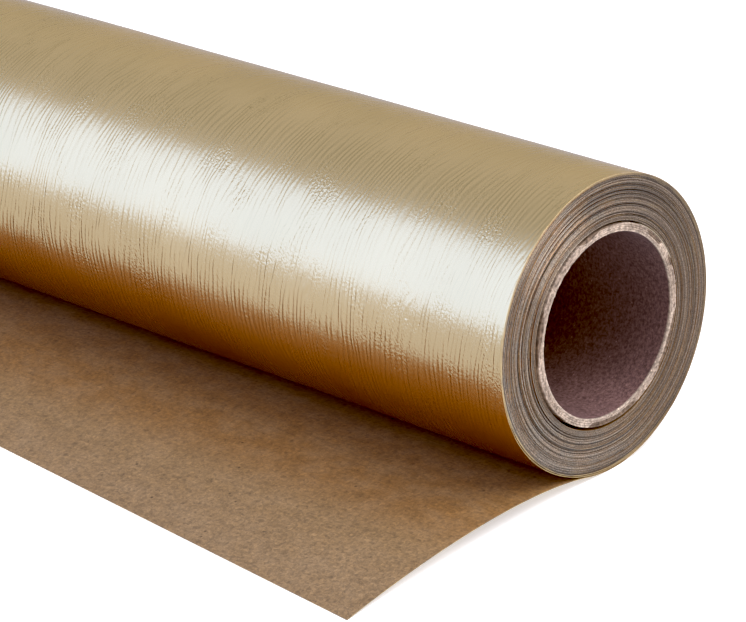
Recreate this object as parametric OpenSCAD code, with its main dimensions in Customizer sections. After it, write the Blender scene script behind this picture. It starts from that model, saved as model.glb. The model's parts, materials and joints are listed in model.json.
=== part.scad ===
// Roll of gift wrapping paper lying on its side, with a short length unrolled in front of it.
// X runs along the roll, +Z is up, and the free sheet lies towards -Y with its plain side up.
// The origin is on the axis of the core's bore, at the middle of the roll's length.

/* [Web] */
// Width of the paper, which is also the length of the roll
web_w = 445; // [300:5:760]
// Thickness of the plain brown paper
kraft_t = 0.10; // [0.08:0.01:0.14]
// Thickness of the gold face that is laminated to it
gold_t = 0.03; // [0.02:0.01:0.05]

/* [Roll] */
// Diameter of the whole roll, with the turn that lies on the table
roll_d = 54; // [48:0.5:64]
// How far the slack in the turns carries the roll's centre to the front of the core's
slack_front = 0.5; // [0.3:0.05:0.6]
// How far the roll's centre stands above the core's
slack_up = 0.1; // [0:0.05:0.2]
// Open gap that is left between two groups of turns
turn_gap = 0.12; // [0.08:0.01:0.16]

/* [Core] */
// Inside diameter of the cardboard core
core_id = 33; // [30:0.5:34]
// Thickness of each of the core's four plies
ply_t = 0.35; // [0.3:0.01:0.36]
// Thickness of the glue between two plies
glue_t = 0.03; // [0.02:0.01:0.04]
// Width of the tape that holds the paper's inner end
tape_w = 12; // [8:1:20]
// Thickness of that tape
tape_t = 0.09; // [0.06:0.01:0.1]

/* [Free sheet] */
// How far the free sheet reaches in front of the roll's contact line, at the +X end
sheet_reach = 66.4; // [50:0.2:120]
// Angle by which the free end was cut out of square, in degrees
cut_skew = 5; // [0:0.5:5]
// Angle before the roll's lowest line at which the paper leaves the roll, in degrees
lift_off = 15; // [12:0.5:18]
// Angle behind the lowest line over which the paper lies between roll and table, in degrees
wrap_back = 7.5; // [4:0.5:10]
// Slope at which the free end comes down to the table
edge_slope = 0.17; // [0.1:0.01:0.25]

/* [Hidden] */
$fn = 128;

web_t = kraft_t + gold_t;
roll_r = roll_d / 2;
centre = [-slack_front, slack_up];
core_r = core_id / 2 + 4 * ply_t + 3 * glue_t;

// The wound paper turns inside the length that lies on the table, so it is clear of it.
running_gap = 0.07;
wound_r = roll_r - web_t - running_gap;

// The innermost turns hang low and to the front on the core.
first_r = core_r + 0.4;
first_shift = [-0.2, -0.1];

// Where one group of turns ends and the next begins, as parts of the paper's depth.
depth = wound_r - first_r;
first_end = first_r + 0.13 * depth;
inner_end = first_r + 0.37 * depth;
middle_end = first_r + 0.68 * depth;
outer_end = wound_r - 0.4;

// The free sheet leaves the roll along its tangent, bows up and comes down to the table.
joint_gap = 0.05;
bow_start = 0.235;
bow_end = 0.37;
bow_steps = 24;
width_steps = 6;

// Flats that a thin curved strip is made of.
arc_steps = 16;

// Local x, y and z become the part's Y, Z and X.
module along_x() {
    rotate([90, 0, 90]) children();
}

// Centre of a turn of radius r: the slack moves it steadily from the core's to the roll's.
function shift(r) =
    first_shift + (centre - first_shift) * (r - first_r) / (wound_r - first_r);

module ring(r_in, r_out, at_in = [0, 0], at_out = [0, 0]) {
    along_x() linear_extrude(web_w, center = true) difference() {
        translate(at_out) circle(r_out);
        translate(at_in) circle(r_in);
    }
}

// One ply of the core, counted from the bore.
module ply(n) {
    r = core_id / 2 + n * (ply_t + glue_t);
    ring(r, r + ply_t);
}

// A group of neighbouring turns of the wound paper.
module turns(r_in, r_out) {
    ring(r_in, r_out, shift(r_in), shift(r_out));
}

function arc(r, from, to) =
    [for (i = [0:arc_steps]) let(a = from + (to - from) * i / arc_steps) r * [cos(a), sin(a)]];

// A thin strip that bends round the given centre in narrow flats, between two angles.
module arc_strip(r, t, from, to, at = [0, 0]) {
    along_x() linear_extrude(web_w, center = true) translate(at)
        polygon(concat(arc(r, from, to), arc(r + t, to, from)));
}

// The free sheet's reach in front of the contact line, at a place x along the roll.
function reach(x) = sheet_reach - tan(cut_skew) * (web_w / 2 - x);

function bezier(a, b, c, d, t) =
    a * pow(1 - t, 3) + b * 3 * t * pow(1 - t, 2) + c * 3 * t * t * (1 - t) + d * pow(t, 3);

// A point [y, z] of the sheet's underside, at x along the roll and t from roll to free edge.
function bow(x, t) =
    let(
        tangent = [-cos(lift_off), sin(lift_off)],
        start = centre + roll_r * [-sin(lift_off), -cos(lift_off)] + joint_gap * tangent,
        edge = centre + [-reach(x), -roll_r],
        span = start[0] - edge[0]
    )
    bezier(start, start + bow_start * span * tangent,
        edge + bow_end * span * [1, edge_slope], edge, t);

// One layer of the free sheet, between two heights above its underside.
module sheet_layer(low, high) {
    row = bow_steps + 1;
    half = (width_steps + 1) * row;
    xs = [for (i = [0:width_steps]) web_w * (i / width_steps - 0.5)];
    ts = [for (j = [0:bow_steps]) j / bow_steps];
    points = [for (h = [low, high], x = xs, t = ts) [x, bow(x, t)[0], bow(x, t)[1] + h]];
    under = [
        for (i = [0:width_steps - 1], j = [0:bow_steps - 1])
        let(a = i * row + j)
        each [[a, a + 1, a + row], [a + 1, a + row + 1, a + row]]
    ];
    over = [for (f = under) [f[2] + half, f[1] + half, f[0] + half]];
    rim = concat(
        [for (j = [0:bow_steps]) j],
        [for (i = [1:width_steps]) i * row + bow_steps],
        [for (j = [1:bow_steps]) width_steps * row + bow_steps - j],
        [for (i = [1:width_steps - 1]) (width_steps - i) * row]
    );
    walls = [
        for (k = [0:len(rim) - 1])
        let(a = rim[k], b = rim[(k + 1) % len(rim)])
        each [[b, a, a + half], [b, a + half, b + half]]
    ];
    polyhedron(points, concat(under, over, walls));
}

module core_liner() {
    color("#6e4c42") ply(0);
}

module core_inner_ply() {
    color("#a89b8c") ply(1);
}

module core_outer_ply() {
    color("#b5a898") ply(2);
}

module core_wrap() {
    color("#c3b7a6") ply(3);
}

module start_tape() {
    half_angle = tape_w / core_r * 90 / PI;
    color("#e6dfc8")
        arc_strip(core_r + glue_t, tape_t, 40 - half_angle, 40 + half_angle);
}

module first_turns() {
    color("#8f7a66") turns(first_r, first_end);
}

module inner_turns() {
    color("#96826d") turns(first_end + turn_gap, inner_end);
}

module middle_turns() {
    color("#9a8774") turns(inner_end + turn_gap, middle_end);
}

module outer_turns() {
    color("#a08d7a") turns(middle_end + turn_gap, outer_end);
}

module last_turns() {
    color("#c2a05a") turns(outer_end + turn_gap, wound_r);
}

module lead_kraft() {
    color("#8a6a44")
        arc_strip(roll_r - web_t, kraft_t, -90 - lift_off, -90 + wrap_back, centre);
}

module lead_gold() {
    color("#c2a05a")
        arc_strip(roll_r - gold_t, gold_t, -90 - lift_off, -90 + wrap_back, centre);
}

module sheet_kraft() {
    color("#96744a") sheet_layer(gold_t, web_t);
}

module sheet_gold() {
    color("#c2a05a") sheet_layer(0, gold_t);
}

core_liner();
core_inner_ply();
core_outer_ply();
core_wrap();
start_tape();
first_turns();
inner_turns();
middle_turns();
outer_turns();
last_turns();
lead_kraft();
lead_gold();
sheet_kraft();
sheet_gold();
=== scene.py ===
"""Roll of gold-faced wrapping paper: the visible pieces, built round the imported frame."""

import json
import math

import bpy
import numpy as np
from bpy.props import FloatProperty, FloatVectorProperty, IntProperty, PointerProperty
from mathutils import Matrix, Vector


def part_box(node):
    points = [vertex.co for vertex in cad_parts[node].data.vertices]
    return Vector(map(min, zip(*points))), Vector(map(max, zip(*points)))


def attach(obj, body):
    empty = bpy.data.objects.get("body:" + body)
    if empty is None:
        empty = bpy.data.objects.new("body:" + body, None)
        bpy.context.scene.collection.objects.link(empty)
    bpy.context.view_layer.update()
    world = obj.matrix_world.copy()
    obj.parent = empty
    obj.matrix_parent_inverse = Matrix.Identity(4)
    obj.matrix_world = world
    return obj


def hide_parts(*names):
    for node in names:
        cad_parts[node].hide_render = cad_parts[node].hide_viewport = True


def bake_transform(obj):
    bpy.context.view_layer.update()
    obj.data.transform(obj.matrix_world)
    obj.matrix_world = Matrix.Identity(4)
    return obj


bl_info = {
    "name": "Wrapping Paper Roll",
    "version": (1, 0, 0),
    "blender": (4, 5, 0),
    "location": "3D View > Sidebar > Paper Roll",
    "description": "Builds a roll of gold-faced wrapping paper with its free end unrolled",
    "category": "Add Mesh",
}

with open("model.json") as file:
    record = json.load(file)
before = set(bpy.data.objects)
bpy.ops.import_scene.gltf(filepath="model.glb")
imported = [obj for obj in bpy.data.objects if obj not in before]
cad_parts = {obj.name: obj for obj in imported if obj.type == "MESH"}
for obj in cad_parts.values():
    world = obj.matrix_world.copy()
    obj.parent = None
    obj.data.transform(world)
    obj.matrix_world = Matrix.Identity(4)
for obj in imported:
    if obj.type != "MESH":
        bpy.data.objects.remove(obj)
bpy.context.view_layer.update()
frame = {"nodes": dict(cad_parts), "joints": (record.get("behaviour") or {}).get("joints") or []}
MM = 0.001


# ---- Sizes read from the frame, in metres ----

def corners(node):
    """A CAD node's vertices as an array."""
    return np.array([v.co for v in frame["nodes"][node].data.vertices], float)


def radii(node, centre=(0.0, 0.0)):
    """The smallest and largest distance of a CAD node's vertices from a line along X."""
    points = corners(node)
    away = np.hypot(points[:, 1] - centre[0], points[:, 2] - centre[1])
    return away.min(), away.max()


def free_edge(x):
    """How far forward the free sheet's cut edge lies at one of its two ends."""
    points = corners("sheet_gold")
    return points[np.abs(points[:, 0] - x) < 0.1 * MM, 1].min()


SPIN = next(j for j in frame["joints"] if j["name"] == "roll_spin")
CENTRE = np.array(SPIN["pos_m"][1:])
HALF_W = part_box("core_liner")[1].x
TABLE_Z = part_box("lead_gold")[0].z
WOUND_R = (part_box("last_turns")[1].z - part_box("last_turns")[0].z) / 2 + 0.05 * MM
ROLL_R = CENTRE[1] - TABLE_Z
# The innermost turns hang a little off the core's axis: their middle, and their hole's radius.
FIRST_MIDDLE = np.array([-0.2, -0.1]) * MM
FIRST_R = radii("first_turns", FIRST_MIDDLE)[0]
EDGE_RIGHT = free_edge(HALF_W)
EDGE_LEFT = free_edge(-HALF_W)


# ---- Settings that a user would change ----

class WebSettings(bpy.types.PropertyGroup):
    """The paper web and how it is wound."""

    thickness: FloatProperty(
        name="Thickness", description="Thickness of the paper with its gold face",
        default=0.13 * MM, min=0.08 * MM, max=0.2 * MM, precision=6, unit="LENGTH")
    turns: IntProperty(
        name="Turns", description="Number of turns wound on the core", default=56, min=40, max=60)
    telescoping: FloatProperty(
        name="Telescoping", description="How unevenly the turns' edges end",
        default=0.055 * MM, min=0.0, max=0.4 * MM, precision=6, unit="LENGTH")
    ripple: FloatProperty(
        name="Ripple", description="Height of the shallow waves in the outermost turn",
        default=0.05 * MM, min=0.0, max=0.1 * MM, precision=6, unit="LENGTH")
    lift_off: FloatProperty(
        name="Lift-off", description="Angle before the lowest line where the paper leaves the roll",
        default=math.radians(15), subtype="ANGLE")
    wrap_back: FloatProperty(
        name="Wrap back", description="Angle behind the lowest line where the loose paper begins",
        default=math.radians(7.5), subtype="ANGLE")
    gold: FloatVectorProperty(
        name="Gold", description="Colour of the gold face", subtype="COLOR",
        default=(0.92, 0.55, 0.22), min=0, max=1)
    # Near the roll this kraft colour carries painted warm bounce light; the kraft shader greys and
    # pales it further out.
    kraft: FloatVectorProperty(
        name="Kraft", description="Colour of the plain brown side", subtype="COLOR",
        default=(0.225, 0.118, 0.037), min=0, max=1)
    edge: FloatVectorProperty(
        name="Cut edge", description="Colour of the paper's cut edges", subtype="COLOR",
        default=(0.168, 0.145, 0.121), min=0, max=1)


class CoreSettings(bpy.types.PropertyGroup):
    """The cardboard core."""

    fray: FloatProperty(
        name="Fray", description="How rough the saw left the core's ends",
        default=0.30 * MM, min=0.0, max=0.4 * MM, precision=6, unit="LENGTH")
    board: FloatVectorProperty(
        name="Board", description="Colour of the grey board", subtype="COLOR",
        default=(0.44, 0.36, 0.30), min=0, max=1)
    liner: FloatVectorProperty(
        name="Liner", description="Colour of the ply that lines the bore", subtype="COLOR",
        default=(0.182, 0.108, 0.102), min=0, max=1)


class StageSettings(bpy.types.PropertyGroup):
    """Camera, lights and floor."""

    azimuth: FloatProperty(
        name="Azimuth", description="Direction of the camera round the roll",
        default=math.radians(45.79), subtype="ANGLE")
    elevation: FloatProperty(
        name="Elevation", description="Height of the camera as an angle",
        default=math.radians(24.43), subtype="ANGLE")
    tilt: FloatProperty(
        name="Tilt", description="Turn of the camera about its own axis",
        default=math.radians(-4.68), subtype="ANGLE")
    place: FloatVectorProperty(
        name="Place", description="Place of the camera from the roll's end, its axis and the table",
        default=(0.3862, -0.4306, 0.2955), subtype="TRANSLATION", unit="LENGTH")
    lens: FloatProperty(
        name="Lens", description="Focal length on a 36 mm sensor", default=180.7, unit="CAMERA")
    black: FloatVectorProperty(
        name="Black level", description="Brightness that the picture shows as black",
        subtype="COLOR", default=(0.010, 0.0145, 0.0185), min=0.0, max=0.1)
    floor: FloatVectorProperty(
        name="Floor", description="Colour of the floor", subtype="COLOR",
        default=(0.93, 0.93, 0.93), min=0, max=1)


# ---- Shader maths ----

class Wire:
    """An output socket. Arithmetic on it adds Math nodes."""

    def __init__(self, tree, socket):
        self.tree = tree
        self.socket = socket

    def math(self, operation, *values):
        return add_node(self.tree, "ShaderNodeMath", {"operation": operation}, dict(enumerate(values)))

    def __add__(self, other):
        return self.math("ADD", self, other)

    def __radd__(self, other):
        return self.math("ADD", other, self)

    def __sub__(self, other):
        return self.math("SUBTRACT", self, other)

    def __rsub__(self, other):
        return self.math("SUBTRACT", other, self)

    def __mul__(self, other):
        return self.math("MULTIPLY", self, other)

    def __rmul__(self, other):
        return self.math("MULTIPLY", other, self)

    def __truediv__(self, other):
        return self.math("DIVIDE", self, other)

    def __pow__(self, other):
        return self.math("POWER", self, other)

    def __abs__(self):
        return self.math("ABSOLUTE", self)

    def fraction(self):
        return self.math("FRACT", self)

    def sine(self):
        return self.math("SINE", self)

    def smooth(self, low, high, to_low=0.0, to_high=1.0):
        """Eases from to_low to to_high as this value goes from low to high."""
        return add_node(self.tree, "ShaderNodeMapRange", {"interpolation_type": "SMOOTHSTEP"},
                        {0: self, 1: low, 2: high, 3: to_low, 4: to_high})


def add_node(tree, kind, settings=(), inputs=(), output=0):
    """Adds one node with its settings and inputs, and returns one of its outputs."""
    node = tree.nodes.new(kind)
    for name, value in dict(settings).items():
        setattr(node, name, value)
    for name, value in dict(inputs).items():
        if isinstance(value, Wire):
            tree.links.new(value.socket, node.inputs[name])
        elif value is not None:
            node.inputs[name].default_value = value
    return Wire(tree, node.outputs[output])


class Finish:
    """A material that is being built on one Principled BSDF."""

    def __init__(self, name):
        self.material = bpy.data.materials.new(name)
        self.material.use_nodes = True
        self.tree = self.material.node_tree
        self.shader = self.tree.nodes["Principled BSDF"]

    def node(self, kind, settings=(), inputs=(), output=0):
        return add_node(self.tree, kind, settings, inputs, output)

    def position(self):
        """The point in the part's own frame, in millimetres, as three values."""
        point = self.node("ShaderNodeTexCoord", output="Object")
        return self.split_mm(point)

    def web(self):
        """Distance along and across the paper web, in millimetres."""
        point = self.node("ShaderNodeUVMap", {"uv_map": "web"})
        along, across, _ = self.split_mm(point)
        return along, across

    def split_mm(self, vector):
        """A vector in metres as three values in millimetres."""
        parts = [self.node("ShaderNodeSeparateXYZ", (), {0: vector}, axis) for axis in range(3)]
        return [part * 1000.0 for part in parts]

    def join(self, x, y, z=0.0):
        """Three values as one vector."""
        return self.node("ShaderNodeCombineXYZ", (), {0: x, 1: y, 2: z})

    def away(self, middle):
        """Distance in millimetres from a line along the roll through this Y and Z."""
        _, y, z = self.position()
        return ((y - middle[0] / MM) ** 2 + (z - middle[1] / MM) ** 2) ** 0.5

    def noise(self, vector, detail=2.0, roughness=0.5, distortion=0.0):
        """A cloudy value about 0.5 that changes over one unit of the vector."""
        return self.node("ShaderNodeTexNoise", (),
                         {"Vector": vector, "Scale": 1.0, "Detail": detail,
                          "Roughness": roughness, "Distortion": distortion})

    def speckle(self, vector):
        """Distance to the nearest of many scattered points, one in each unit cell."""
        return self.node("ShaderNodeTexVoronoi", (), {"Vector": vector, "Scale": 1.0})

    def blend(self, factor, first, second):
        """A colour that goes from first to second as the factor goes from 0 to 1."""
        first, second = (c if isinstance(c, Wire) else (*c, 1.0) for c in (first, second))
        return self.node("ShaderNodeMix", {"data_type": "RGBA"}, {0: factor, 6: first, 7: second}, 2)

    def shade(self, colour, factor):
        """A colour made lighter or darker by a value near 1."""
        colour = colour if isinstance(colour, Wire) else tuple(colour)
        return self.node("ShaderNodeVectorMath", {"operation": "SCALE"},
                         {"Vector": colour, "Scale": factor})

    def bump(self, height_mm):
        """A normal from a height in millimetres."""
        return self.node("ShaderNodeBump", (), {"Strength": 1.0, "Distance": MM, "Height": height_mm})

    def finish(self, **inputs):
        """Sets or links the shader's sockets by name, and returns the material."""
        for name, value in inputs.items():
            socket = self.shader.inputs[name.replace("_", " ").title()]
            if isinstance(value, Wire):
                self.tree.links.new(value.socket, socket)
            else:
                socket.default_value = value
        return self.material


# ---- Materials ----

def gold_paper(name, web_map, colour):
    """Gold foil face with an embossed wood grain that runs along the web."""
    m = Finish(name)
    if web_map:
        along, across = m.web()
    else:
        across, along, _ = m.position()
    drift = m.noise(m.join(along / 45.0, across / 14.0), 1.0) - 0.5
    waver = m.noise(m.join(along / 9.0, across / 1.9, 6.0), 1.0) - 0.5
    ring = across / 1.1 - along * 0.12 + drift * 7.0 + waver * 1.3
    wave = (ring * math.tau).sine() + (ring * 14.2).sine() * 0.10
    steep = (abs(ring.fraction() - 0.5) * 2.0).smooth(0.70, 1.0)
    rise = m.noise(m.join(along / 6.0, ring * 0.6, 3.0), 1.0).smooth(0.32, 0.56, 0.2, 1.0)
    pores = m.noise(m.join(along / 2.4, ring * 2.2, 4.0), 1.0).smooth(0.60, 0.74)
    veins = m.noise(m.join(along / 16.0, ring * 1.5, 8.0), 1.0).smooth(0.62, 0.72)
    pits = m.noise(m.join(along / 0.55, across / 0.40, 9.0), 1.0) - 0.5
    pitted = m.noise(m.join(along / 9.0, across / 8.0, 2.0), 1.0).smooth(0.50, 0.66)
    _, y, z = m.position()
    creased = z.smooth(-9.0, -2.0) * z.smooth(6.0, 12.0, 1.0, 0.0) * y.smooth(-12.0, -6.0, 1.0, 0.0)
    cut = steep * rise + pores * 0.6 + veins
    ridges = wave * rise * (creased * 0.020 + 0.022)
    blisters = pits * (pitted * 0.070 + creased * 0.02 + 0.018)
    height = ridges + blisters - cut * 0.002 - veins * (creased * 0.016 + 0.006)
    cloud = m.noise(m.join(along / 25.0, across / 25.0, 7.0), 2.0)
    # Painted shade: the gold is a touch darker in the grain's cut lines.
    tint = m.shade(colour, cloud.smooth(0.3, 0.7, 0.97, 1.03) - cut * 0.02)
    return m.finish(
        base_color=tint, metallic=1.0, normal=m.bump(height), specular_tint=(0.8, 0.68, 0.5, 1.0),
        roughness=cloud.smooth(0.3, 0.7, 0.24, 0.28) + cut * 0.02)


def kraft_paper(name, colour):
    """Plain brown paper with a mottled, fibrous face and dust blotches, coloured with painted warm
    bounce light: saturated orange near the roll, greyed and paled further out.
    """
    m = Finish(name)
    x, y, z = m.position()
    grain = m.noise(m.join(x / 0.7, y / 0.65, z / 0.65), 3.0, 0.7, 0.8)
    blotch = m.noise(m.join(x / 6.0, y / 4.5, z / 4.5), 2.0, 0.55)
    fibre = m.noise(m.join(x / 2.6 + grain * 0.9, y / 0.55, z / 0.9), 2.0, 0.6)
    crossed = m.noise(m.join(x / 0.55, y / 2.2 + grain * 0.9, z / 0.9 + 5.0), 2.0, 0.6)
    fleck = m.speckle(m.join(x / 5.5, y / 5.5, z / 5.5)).smooth(0.025, 0.07, 0.4, 1.0)
    tone = (grain - 0.5) * 1.9 + (blotch - 0.5) * 0.28 + (fibre + crossed - 1.0) * 0.42 + 1.0
    # Painted warm bounce light from the roll: the kraft keeps its saturated colour near the roll, and
    # is greyed and then paled further forward.
    beyond_painted_bounce = (y + blotch * 6.0).smooth(-45.0, -31.5, 1.0, 0.0)
    painted_bounce_colour = m.blend(beyond_painted_bounce, colour, (0.228, 0.147, 0.070))
    dust_and_painted_bounce = m.blend(blotch.smooth(0.3, 0.8) * 0.4 + y.smooth(-64.0, -42.0, 0.6, 0.0),
                    painted_bounce_colour, (0.236, 0.166, 0.097))
    height = (grain + fibre * 0.7 + crossed * 0.7) * 0.045
    return m.finish(base_color=m.shade(dust_and_painted_bounce, tone * fleck), normal=m.bump(height),
                    roughness=grain.smooth(0.3, 0.7, 0.78, 0.92))


# A paler spot on the end of the roll: its Y and Z.
PALER_SPOT = (-13 * MM, 19 * MM)
# The outermost turn's cut edge: a thin gold layer, brightened into a painted gold glint.
PAINTED_GLINT_EDGE = (0.44, 0.31, 0.14)


def cut_edges(name, colour):
    """The cut edges of the paper: a tone for each turn, painted gold glints and a painted gold
    highlight on the outer rim, and painted shade in grooves, under the rim and on the +Y side.
    """
    m = Finish(name)
    along, _ = m.web()
    x, y, z = m.position()
    turn = m.noise(m.join(along / 120.0, 0.0), 2.0, 0.6)
    # Painted shade: some stretches of the turns are darkened, as shade in the grooves between turns.
    groove_shade = m.noise(m.join(along / 150.0, 17.0), 1.0).smooth(0.37, 0.43, 0.45, 1.0)
    fuzz = m.noise(m.join(x / 0.5, y / 0.22, z / 0.22), 3.0, 0.65)
    smudge = m.noise(m.join(x / 3.0, y / 3.5, z / 3.5), 2.0)
    out = m.away(CENTRE)
    # Painted gold highlight round the outer rim of the end.
    rim = out.smooth(WOUND_R / MM - 0.60, WOUND_R / MM - 0.48)
    # Painted shade: a dark ring just inside the outer turns, for the shaded gap under them.
    gap_shade_under_rim = abs(out - (WOUND_R / MM - 0.72)).smooth(0.05, 0.14, 0.5, 1.0)
    paler_spot = m.away(PALER_SPOT).smooth(3.0, 12.0, 1.75, 1.0)
    shady = y.smooth(-6.0, 16.0)
    tone = (turn.smooth(0.37, 0.63, 0.40, 1.68) * fuzz.smooth(0.3, 0.7, 0.42, 1.58)
            * groove_shade * gap_shade_under_rim * paler_spot)
    warm = m.blend(smudge.smooth(0.35, 0.65) * 0.5, colour, (0.20, 0.145, 0.10))
    brown = m.blend(shady * 0.9, warm, (0.121, 0.095, 0.074))
    # Painted gold glints scattered along the turns, and the painted highlight on the rim, which fades
    # on the shaded +Y side.
    glint = m.noise(m.join(along / 9.0, 3.0), 2.0).smooth(0.56, 0.66)
    paint = m.blend(glint * 0.22 + rim * smudge.smooth(0.3, 0.6, 0.2, 0.75) * (1.0 - shady * 0.7),
                    m.shade(brown, tone), (0.50, 0.385, 0.20))
    return m.finish(base_color=paint, normal=m.bump(fuzz * 0.06), roughness=0.85)


def grey_board(name, colour):
    """Soft grey cardboard with torn fibres, pale near the bore and brown outside, where the brown is
    deepened as painted shade of the gap round the core.
    """
    m = Finish(name)
    x, y, z = m.position()
    pulp = m.noise(m.join(x / 0.6, y / 0.6, z / 0.6), 3.0, 0.7)
    shred = m.noise(m.join(x / 0.9, y / 1.3, z / 1.3), 2.0, 0.6, 1.0)
    worn = m.noise(m.join(x / 9.0, y / 9.0, z / 9.0), 1.0).smooth(0.42, 0.6)
    bright = m.noise(m.join(y / 8.0, z / 8.0, 2.6), 1.0).smooth(0.38, 0.6, 0.25, 1.2)
    # Painted shade: the plies outside the liner are dark brown, partly their own brown and partly
    # standing for the shaded gap between core and paper.
    brown_and_gap_shade = (m.away((0.0, 0.0)) - bright - radii("core_liner")[1] / MM).smooth(-0.05, 0.08)
    tone = pulp.smooth(0.32, 0.68, 0.6, 1.5) * shred.smooth(0.3, 0.7, 0.8, 1.15)
    torn = m.blend(worn * 0.4, colour, (0.17, 0.12, 0.09))
    ply = m.blend(brown_and_gap_shade * 0.85, torn, (0.13, 0.088, 0.060))
    return m.finish(base_color=m.shade(ply, tone), normal=m.bump(pulp * 0.15), roughness=0.92)


def liner_paper(name, colour, board):
    """Purple-brown recycled paper with pale and dark fibres, and the seam of its winding."""
    m = Finish(name)
    x, y, z = m.position()
    pulp = m.noise(m.join(x / 0.55, y / 0.55, z / 0.55), 3.0, 0.7)
    hair = m.noise(m.join(x / 0.3, y / 1.5, z / 1.5), 2.0, 0.6, 1.5)
    fleck = m.speckle(m.join(x / 1.7, y / 1.7, z / 1.7)).smooth(0.04, 0.14, 1.9, 1.0)
    turned = z.math("ARCTAN2", z, y) / math.tau
    seam = abs((x / 62.0 + turned + 0.27).fraction() - 0.5).smooth(0.0, 0.004, 0.85, 1.0)
    # Painted shade: the bore's wall on the +Y side is darkened near the open end.
    painted_mouth_shade = x.smooth(HALF_W / MM - 24.0, HALF_W / MM - 6.0) * y.smooth(4.0, 12.0)
    tone = (pulp.smooth(0.3, 0.7, 0.62, 1.38) * hair.smooth(0.3, 0.7, 0.82, 1.18)
            * (1.0 - painted_mouth_shade * 0.28))
    sawn = m.blend(abs(x).smooth(HALF_W / MM - 0.5, HALF_W / MM - 0.2), colour, board)
    return m.finish(base_color=m.shade(sawn, tone * fleck * seam),
                    normal=m.bump((pulp + hair) * 0.10 + seam * 0.02), roughness=0.88)


def clear_tape(name):
    """Thin cream tape, slightly glossy, with a faint crinkle."""
    m = Finish(name)
    x, y, z = m.position()
    crinkle = m.noise(m.join(x / 4.0, y / 1.0, z / 1.0), 2.0)
    return m.finish(base_color=m.shade((0.50, 0.43, 0.32), crinkle.smooth(0.3, 0.7, 0.92, 1.06)),
                    normal=m.bump(crinkle * 0.02), roughness=0.4)


def once(name, make, *values):
    """A material by name, made the first time that it is asked for."""
    return bpy.data.materials.get(name) or make(name, *values)


def web_materials(web, web_map=True, gilt=False):
    """The paper's three surfaces: gold face, plain side and cut edge, which can carry a painted gold
    glint.
    """
    gold_name = "gold_wound" if web_map else "gold_under_sheet"
    return [once(gold_name, gold_paper, web_map, web.gold),
            once("kraft_side", kraft_paper, web.kraft),
            once("gilt_edge", cut_edges, PAINTED_GLINT_EDGE) if gilt
            else once("cut_edge", cut_edges, web.edge)]


# ---- Paper in mesh code ----

GOLD_SIDE, KRAFT_SIDE, CUT_EDGE = range(3)


def waves(x, seed, wavelength, count=7):
    """A smooth random curve of about unit height: a few sine waves of nearby lengths."""
    dice = np.random.default_rng(seed)
    lengths = wavelength * dice.uniform(0.6, 1.9, count)
    phases = dice.uniform(0, math.tau, count)
    sines = [np.sin(math.tau * x / length + phase) for length, phase in zip(lengths, phases)]
    return sum(sines) / math.sqrt(count / 2)


def ease(t):
    """Goes smoothly from 0 to 1 as t does, and stays flat beyond."""
    t = np.clip(t, 0, 1)
    return t * t * (3 - 2 * t)


def paper(name, gold, kraft, along, across, materials):
    """A closed sheet between two grids of points, [column, row, xyz], with its web map."""
    columns, rows, _ = gold.shape
    index = np.arange(columns * rows).reshape(columns, rows)
    under = index + columns * rows
    quads, sides = [], []

    def wall(a, b, c, d, side):
        strip = np.stack([a.ravel(), b.ravel(), c.ravel(), d.ravel()], 1)
        quads.append(strip)
        sides.append(np.full(len(strip), side))

    wall(index[:-1, :-1], index[:-1, 1:], index[1:, 1:], index[1:, :-1], GOLD_SIDE)
    wall(under[:-1, :-1], under[1:, :-1], under[1:, 1:], under[:-1, 1:], KRAFT_SIDE)
    wall(index[:-1, -1], under[:-1, -1], under[1:, -1], index[1:, -1], CUT_EDGE)
    wall(index[1:, 0], under[1:, 0], under[:-1, 0], index[:-1, 0], CUT_EDGE)
    wall(index[0, 1:], index[0, :-1], under[0, :-1], under[0, 1:], CUT_EDGE)
    wall(index[-1, :-1], index[-1, 1:], under[-1, 1:], under[-1, :-1], CUT_EDGE)
    faces = np.concatenate(quads)
    points = np.concatenate([gold.reshape(-1, 3), kraft.reshape(-1, 3)])
    a, b, c, d = (points[faces[:, k]] for k in range(4))
    if np.einsum("ij,ij->", np.cross(c - a, d - b), (a + b + c + d)) < 0:
        faces = faces[:, ::-1]
    mesh = bpy.data.meshes.new(name)
    mesh.from_pydata(points.tolist(), [], faces.tolist())
    mesh.polygons.foreach_set("material_index", np.concatenate(sides).astype(np.int32))
    place = np.stack([np.concatenate([along.ravel()] * 2), np.concatenate([across.ravel()] * 2)], 1)
    web_map = mesh.uv_layers.new(name="web")
    web_map.data.foreach_set("uv", place[faces.ravel()].astype(np.float32).ravel())
    for material in materials:
        mesh.materials.append(material)
    piece = bpy.data.objects.new(name, mesh)
    bpy.context.scene.collection.objects.link(piece)
    bpy.ops.object.select_all(action="DESELECT")
    piece.select_set(True)
    bpy.context.view_layer.objects.active = piece
    bpy.ops.object.shade_smooth_by_angle(angle=math.radians(30))
    return piece


# Columns of the wound paper in one turn.
STEPS = 120
# The angle of the roll's lowest line, near which the free paper leaves it.
SEAM = math.radians(-90)
# Two wide gaps that run right round: where they start, in turns from the core, and their weight.
WIDE_GAPS = {6.6: 1.8, 19.5: 1.6}
# Two loose places near the outside: turns from the end, weight, and reach as a share of a turn.
LOOSE_PLACES = ((2, 3.4, 0.30), (3, 1.5, 0.18))
# Waves of the outermost turn: slant along the web, seed and wavelength in metres.
RIPPLES = ((1.4, 21, 0.052), (-2.3, 22, 0.083))
# Spread of the small random steps along each cut edge.
EDGE_FUZZ = 0.012 * MM


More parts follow.
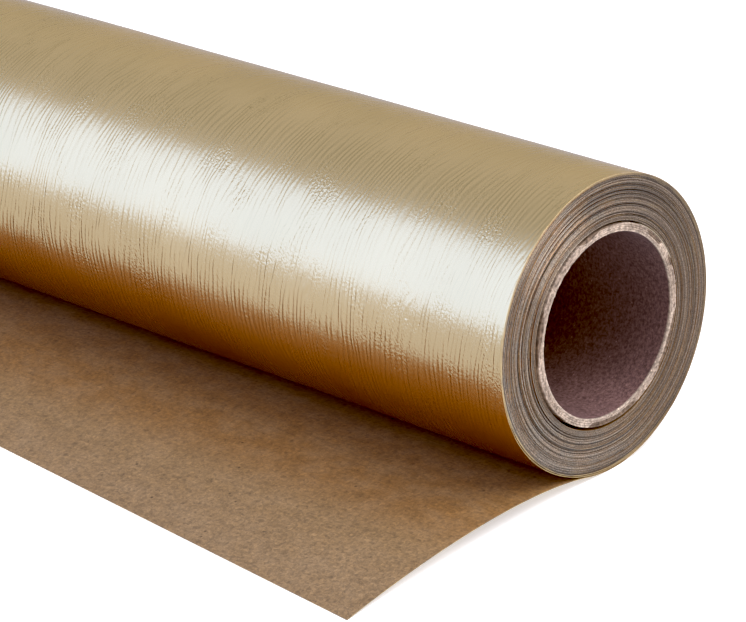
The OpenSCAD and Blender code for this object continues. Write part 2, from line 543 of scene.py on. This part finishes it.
def gap_weights(turn, turns):
    """How much of the winding's slack lies outside each point of the web."""
    weight = 0.04 + np.clip(waves(turn, 3, 1.3) - 1.0, 0, None) * 2.2
    for at, extra in WIDE_GAPS.items():
        weight += extra * ease((turn - at) / 0.25) * ease((at + 1.25 - turn) / 0.25)
    for back, swell, reach in LOOSE_PLACES:
        from_bottom = turn - (turns - back)
        weight += swell * ease(from_bottom / 0.05) * ease((reach - from_bottom) / (reach - 0.1))
    return weight


def winding(web):
    """The web's spiral: turn number, angle and distance of its gold face from the roll's axis."""
    turns, thick = web.turns, web.thickness
    turn = np.arange(turns * STEPS + 1) / STEPS
    angle = SEAM + web.wrap_back - math.tau * turn
    offset = FIRST_MIDDLE - CENTRE
    direction = np.stack([np.cos(angle), np.sin(angle)], 1)
    beside = direction @ np.array([-offset[1], offset[0]])
    first = direction @ offset + np.sqrt(FIRST_R ** 2 - beside ** 2)
    weight = gap_weights(turn, turns)
    at_seam = np.arange(turns) * STEPS
    share = (WOUND_R - first[0] - (turns + 1) * thick) / weight[at_seam].sum()
    step_in = thick + share * weight[at_seam[-1]]
    first_step = thick + share * weight[0]
    away = np.zeros_like(turn)
    # The last turn rises from under its own end and closes at the free sheet's radius. Inside it
    # the turns are stacked at each angle from the outside in, and share out the slack by weight.
    for k in range(STEPS + 1):
        part = k / STEPS
        outer = (WOUND_R - step_in * (1 - ease(part / 0.2))
                 + (ROLL_R - WOUND_R - 0.02 * MM) * ease((part - 0.93) / 0.06))
        inner = first[k] + thick + first_step * part
        here = np.arange(k, (turns - 1) * STEPS + 1, STEPS)[:turns - 1]
        gaps = weight[here] * (outer - inner - (turns - 1) * thick) / weight[here].sum()
        away[here] = outer - np.cumsum((gaps + thick)[::-1])[::-1]
        away[k + (turns - 1) * STEPS] = outer
    return turn, angle, away


def web_length(angle, away):
    """Distance along the web at each point of the spiral."""
    points = np.stack([away * np.cos(angle), away * np.sin(angle)], 1)
    return np.concatenate([[0], np.cumsum(np.linalg.norm(np.diff(points, axis=0), axis=1))])


def end_recess(turn, web, seed):
    """How far the web's edge stands back from the end plane: quick and slow waves, and fuzz."""
    uneven = web.telescoping * (waves(turn, seed, 0.75) + 0.8 * waves(turn, seed + 1, 9.0))
    fuzz = np.random.default_rng(seed).normal(0, EDGE_FUZZ, len(turn))
    fade = 1 - 0.9 * ease((turn - web.turns + 4) / 3)
    return np.clip(1.6 * web.telescoping + uneven, 0.02 * MM, None) * fade + np.abs(fuzz)


def wind(name, web, span, rows, steps, materials):
    """A stretch of the wound web, between two turn numbers, as a closed ribbon."""
    turn, angle, away = winding(web)
    along = web_length(angle, away)
    right, left = end_recess(turn, web, 11), end_recess(turn, web, 12)
    pick = np.linspace(span[0], span[1], round((span[1] - span[0]) * steps) + 1)
    angle, away, along, right, left = (
        np.interp(pick, turn, values) for values in (angle, away, along, right, left))
    across = np.linspace(0, 1, rows)[None, :] * (2 * HALF_W - left - right)[:, None]
    x = across - HALF_W + left[:, None]
    dip = np.zeros_like(x)
    if rows > 2:
        swell = sum(waves(x + slant * along[:, None], seed, length) for slant, seed, length in RIPPLES)
        dip = web.ripple * (np.clip(swell, -2, 2) / 2 - 1)

    def face(depth):
        r = away[:, None] + dip - depth
        return np.stack([x, CENTRE[0] + r * np.cos(angle)[:, None],
                         CENTRE[1] + r * np.sin(angle)[:, None]], 2)

    length = np.broadcast_to(along[:, None], x.shape)
    piece = paper(name, face(0.0), face(web.thickness), length, across, materials)
    return piece, along[-1] - along[0]


def bezier(points, t):
    """Points of a cubic curve from its two ends and the two handles between them."""
    a, b, c, d = points
    return (1 - t) ** 3 * a + 3 * t * (1 - t) ** 2 * b + 3 * t * t * (1 - t) * c + t ** 3 * d


# The free sheet's columns under the roll and in its bow, and its rows along the roll.
ARC_COLUMNS = 12
BOW_COLUMNS = 76
SHEET_ROWS = 130
# How far the bow's two handles reach, as shares of its length, and its slope at the cut edge.
BOW_START = 0.235
BOW_END = 0.37
EDGE_SLOPE = 0.17


def sheet_line(x, web):
    """The free sheet's underside at one place along the roll, from the roll to its cut edge."""
    turn = np.linspace(web.wrap_back, -web.lift_off, ARC_COLUMNS)
    arc = CENTRE + ROLL_R * np.stack([np.sin(turn), -np.cos(turn)], 1)
    share = (x + HALF_W) / (2 * HALF_W)
    edge = np.array([EDGE_LEFT + (EDGE_RIGHT - EDGE_LEFT) * share, TABLE_Z])
    start = arc[-1]
    reach = start[0] - edge[0]
    tangent = np.array([-math.cos(web.lift_off), math.sin(web.lift_off)])
    handles = (start, start + BOW_START * reach * tangent,
               edge + BOW_END * reach * np.array([1, EDGE_SLOPE]), edge)
    t = np.linspace(0, 1, BOW_COLUMNS)[1:, None]
    return np.concatenate([arc, bezier(handles, t)])


# ---- Core plies with modelling operators ----

# How deep the saw has frayed each end of a ply.
END_BAND = 0.35 * MM


def core_ply(name, node, core, material, stand_back):
    """One ply of the core: a tube whose sawn ends are frayed."""
    inner, outer = radii(node)
    bpy.ops.object.select_all(action="DESELECT")
    bpy.ops.mesh.primitive_cylinder_add(
        vertices=288, radius=(inner + outer) / 2, depth=2 * HALF_W - 2 * stand_back,
        end_fill_type="NOTHING", rotation=(0, math.pi / 2, 0))
    ply = bpy.context.object
    ply.name = name
    bpy.ops.object.transform_apply(rotation=True)
    bpy.ops.object.mode_set(mode="EDIT")
    for cut in (HALF_W - 4 * END_BAND, HALF_W - END_BAND, 4 * END_BAND - HALF_W, END_BAND - HALF_W):
        bpy.ops.mesh.select_all(action="SELECT")
        bpy.ops.mesh.bisect(plane_co=(cut, 0, 0), plane_no=(1, 0, 0))
    bpy.ops.mesh.select_all(action="SELECT")
    bpy.ops.mesh.normals_make_consistent(inside=False)
    bpy.ops.object.mode_set(mode="OBJECT")
    wall = ply.modifiers.new("wall", "SOLIDIFY")
    wall.thickness = outer - inner
    wall.offset = 0
    bpy.ops.object.modifier_apply(modifier="wall")
    rim = ply.modifiers.new("rim", "BEVEL")
    rim.width = 0.07 * MM
    rim.segments = 2
    rim.angle_limit = math.radians(50)
    bpy.ops.object.modifier_apply(modifier="rim")
    ends = ply.vertex_groups.new(name="ends")
    at_end = [v.index for v in ply.data.vertices if abs(v.co.x) > HALF_W - 0.8 * END_BAND - stand_back]
    ends.add(at_end, 1.0, "REPLACE")
    torn = bpy.data.textures.new(name + "_torn", "CLOUDS")
    torn.noise_scale = 0.5 * MM
    torn.noise_depth = 3
    fray = ply.modifiers.new("fray", "DISPLACE")
    fray.texture = torn
    fray.texture_coords = "LOCAL"
    fray.vertex_group = "ends"
    fray.direction = "X"
    fray.mid_level = 0.5
    fray.strength = core.fray
    bpy.ops.object.modifier_apply(modifier="fray")
    ply.vertex_groups.clear()
    ply.data.materials.append(material)
    bpy.ops.object.shade_smooth_by_angle(angle=math.radians(40))
    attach(ply, "roll")
    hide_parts(node)
    return ply


# ---- Stage ----

# The lights, in metres: the card shows only in reflections, and the key only lights.
FRONT_CARD = {"place": (-0.9, -1.0, 1.07), "target": (-0.9, 0.0, 1.07), "size": (3.6, 2.04),
              "radiance": (0.42, 0.91, 2.72), "diffuse": False}
KEY = {"place": (1.1, 0.45, 1.7), "target": (0.1, -0.05, 0), "size": (1.6, 1.6),
       "radiance": (4.4, 4.75, 5.4), "glossy": False}
# The sky that only lights, and the one that shows in reflections: low, middle and overhead.
FILL = (0.85, 0.69, 0.53, 1)
LOW_SKY = (0.61, 0.81, 1.28, 1)
MIDDLE_SKY = (0.50, 0.66, 1.0, 1)
HIGH_SKY = (0.285, 0.39, 0.55, 1)


def lay_floor(colour):
    """A large white plane that glows a little, so that it stays white in the roll's shade."""
    bpy.ops.object.select_all(action="DESELECT")
    bpy.ops.mesh.primitive_plane_add(size=12, location=(0, 0, TABLE_Z - 0.02 * MM))
    floor = bpy.context.object
    floor.name = "floor"
    m = Finish("floor_white")
    floor.data.materials.append(m.finish(base_color=(*colour, 1.0), roughness=0.9,
                                         emission_color=(0.32, 0.34, 0.40, 1.0),
                                         emission_strength=1.0))
    floor.visible_glossy = False


def light_sky(scene):
    """A pale dome: cool and darker overhead where the gold reflects it, plain where it only lights."""
    world = bpy.data.worlds.new("studio")
    world.use_nodes = True
    tree = world.node_tree
    direction = add_node(tree, "ShaderNodeTexCoord", output="Generated")
    height = add_node(tree, "ShaderNodeSeparateXYZ", (), {0: direction}, 2)
    mirrored = add_node(tree, "ShaderNodeLightPath", output="Is Glossy Ray")

    def mix(factor, first, second):
        return add_node(tree, "ShaderNodeMix", {"data_type": "RGBA"},
                        {0: factor, 6: first, 7: second}, 2)

    seen = mix(height.smooth(-0.02, 0.2), LOW_SKY, MIDDLE_SKY)
    seen = mix(height.smooth(0.6, 0.97), seen, HIGH_SKY)
    glow = mix(mirrored, FILL, seen)
    tree.links.new(glow.socket, tree.nodes["Background"].inputs["Color"])
    scene.world = world


def soft_light(name, place, target, size, radiance, diffuse=True, glossy=True):
    """A rectangular light of a given radiance in each colour, which the camera doesn't see."""
    brightest = max(radiance)
    lamp = bpy.data.lights.new(name, "AREA")
    lamp.shape = "RECTANGLE"
    lamp.size, lamp.size_y = size
    lamp.color = [part / brightest for part in radiance]
    lamp.energy = brightest * math.pi * size[0] * size[1]
    light = bpy.data.objects.new(name, lamp)
    light.location = place
    light.rotation_euler = (Vector(target) - Vector(place)).to_track_quat("-Z", "Y").to_euler()
    light.visible_camera = False
    light.visible_diffuse = diffuse
    light.visible_glossy = glossy
    bpy.context.scene.collection.objects.link(light)


def place_camera(scene, stage):
    """The camera at the stage's place, angles and lens."""
    a, e, tilt = stage.azimuth, stage.elevation, stage.tilt
    back = Vector((math.sin(a) * math.cos(e), -math.cos(a) * math.cos(e), math.sin(e)))
    right = Vector((math.cos(a), math.sin(a), 0))
    up = back.cross(right)
    turned_right = math.cos(tilt) * right + math.sin(tilt) * up
    turned_up = math.cos(tilt) * up - math.sin(tilt) * right
    camera = bpy.data.objects.new("camera", bpy.data.cameras.new("camera"))
    camera.data.lens = stage.lens
    camera.data.sensor_width = 36
    place = Vector((HALF_W, CENTRE[0], TABLE_Z)) + Vector(stage.place)
    camera.matrix_world = Matrix((
        (turned_right.x, turned_up.x, back.x, place.x),
        (turned_right.y, turned_up.y, back.y, place.y),
        (turned_right.z, turned_up.z, back.z, place.z),
        (0, 0, 0, 1)))
    scene.collection.objects.link(camera)
    scene.camera = camera


# ---- Operators ----

class ROLL_OT_core(bpy.types.Operator):
    """Models the four plies of the cardboard core"""

    bl_idname = "roll.core"
    bl_label = "Core"

    def execute(self, context):
        core = context.scene.roll_core
        liner = once("bore_liner", liner_paper, core.liner, core.board)
        board = once("sawn_board", grey_board, core.board)
        core_ply("bore_liner_ply", "core_liner", core, liner, 0.05 * MM)
        for name, node, back in (("inner_board_ply", "core_inner_ply", 0.0),
                                 ("outer_board_ply", "core_outer_ply", 0.04 * MM),
                                 ("wrap_ply", "core_wrap", 0.0)):
            core_ply(name, node, core, board, back)
        return {"FINISHED"}


class ROLL_OT_start_tape(bpy.types.Operator):
    """Finishes the strip of tape that holds the web's inner end"""

    bl_idname = "roll.start_tape"
    bl_label = "Start tape"

    def execute(self, context):
        tape = frame["nodes"]["start_tape"]
        tape.data.materials.clear()
        tape.data.materials.append(once("cream_tape", clear_tape))
        return {"FINISHED"}


class ROLL_OT_wound_paper(bpy.types.Operator):
    """Winds the web on the core in one true spiral, up to its last turn"""

    bl_idname = "roll.wound_paper"
    bl_label = "Wound paper"

    def execute(self, context):
        web = context.scene.roll_web
        coil, length = wind("wound_paper", web, (0, web.turns - 1.15), 2, STEPS, web_materials(web))
        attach(coil, "roll")
        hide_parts("first_turns", "inner_turns", "middle_turns", "outer_turns")
        return {"FINISHED"}


class ROLL_OT_last_turn(bpy.types.Operator):
    """Lays the rippled outermost turn over the wound paper"""

    bl_idname = "roll.last_turn"
    bl_label = "Last turn"

    def execute(self, context):
        web = context.scene.roll_web
        turn, length = wind("last_turn", web, (web.turns - 1.15, web.turns), 96, 2 * STEPS,
                            web_materials(web, gilt=True))
        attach(turn, "roll")
        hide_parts("last_turns")
        return {"FINISHED"}


class ROLL_OT_free_sheet(bpy.types.Operator):
    """Lays out the free sheet, from under the roll to its cut edge"""

    bl_idname = "roll.free_sheet"
    bl_label = "Free sheet"

    def execute(self, context):
        web = context.scene.roll_web
        x = np.linspace(-HALF_W, HALF_W, SHEET_ROWS)
        lines = np.stack([sheet_line(place, web) for place in x], 1)
        step = np.gradient(lines, axis=0)
        normal = np.stack([step[..., 1], -step[..., 0]], 2)
        normal /= np.linalg.norm(normal, axis=2, keepdims=True)
        over = lines + web.thickness * normal
        across = np.broadcast_to(x, lines.shape[:2])
        along = np.cumsum(np.linalg.norm(np.diff(lines, axis=0, prepend=lines[:1]), axis=2), axis=0)
        under_face = np.concatenate([across[..., None], lines], 2)
        upper_face = np.concatenate([across[..., None], over], 2)
        sheet = paper("free_sheet", under_face, upper_face, along, across,
                      web_materials(web, web_map=False))
        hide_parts("sheet_kraft", "sheet_gold", "lead_kraft", "lead_gold")
        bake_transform(sheet)
        return {"FINISHED"}


class ROLL_OT_stage(bpy.types.Operator):
    """Sets up the floor, the soft lights and the camera"""

    bl_idname = "roll.stage"
    bl_label = "Stage"

    def execute(self, context):
        stage = context.scene.roll_stage
        lay_floor(stage.floor)
        light_sky(context.scene)
        soft_light("front_card", **FRONT_CARD)
        soft_light("key", **KEY)
        place_camera(context.scene, stage)
        view = context.scene.view_settings
        view.view_transform = "Standard"
        view.use_curve_mapping = True
        view.curve_mapping.black_level = stage.black
        view.curve_mapping.update()
        return {"FINISHED"}


# ---- Panel and start ----

class ROLL_PT_panel(bpy.types.Panel):
    """Lists the pieces of the paper roll"""

    bl_idname = "ROLL_PT_panel"
    bl_label = "Paper Roll"
    bl_space_type = "VIEW_3D"
    bl_region_type = "UI"
    bl_category = "Paper Roll"

    def draw(self, context):
        for step in STEPS_IN_ORDER:
            self.layout.operator(step.bl_idname)
        for settings in (context.scene.roll_web, context.scene.roll_core, context.scene.roll_stage):
            for name in settings.__annotations__:
                self.layout.prop(settings, name)


SETTINGS = {"roll_web": WebSettings, "roll_core": CoreSettings, "roll_stage": StageSettings}
STEPS_IN_ORDER = (ROLL_OT_stage, ROLL_OT_core, ROLL_OT_start_tape, ROLL_OT_wound_paper,
                  ROLL_OT_last_turn, ROLL_OT_free_sheet)


def register():
    for group in (*SETTINGS.values(), *STEPS_IN_ORDER, ROLL_PT_panel):
        bpy.utils.register_class(group)
    for name, group in SETTINGS.items():
        setattr(bpy.types.Scene, name, PointerProperty(type=group))


def unregister():
    for name in SETTINGS:
        delattr(bpy.types.Scene, name)
    for group in reversed((*SETTINGS.values(), *STEPS_IN_ORDER, ROLL_PT_panel)):
        bpy.utils.unregister_class(group)


def main():
    register()
    bpy.ops.roll.stage()
    bpy.ops.roll.core()
    bpy.ops.roll.start_tape()
    bpy.ops.roll.wound_paper()
    bpy.ops.roll.last_turn()
    bpy.ops.roll.free_sheet()


if __name__ == "__main__":
    main()
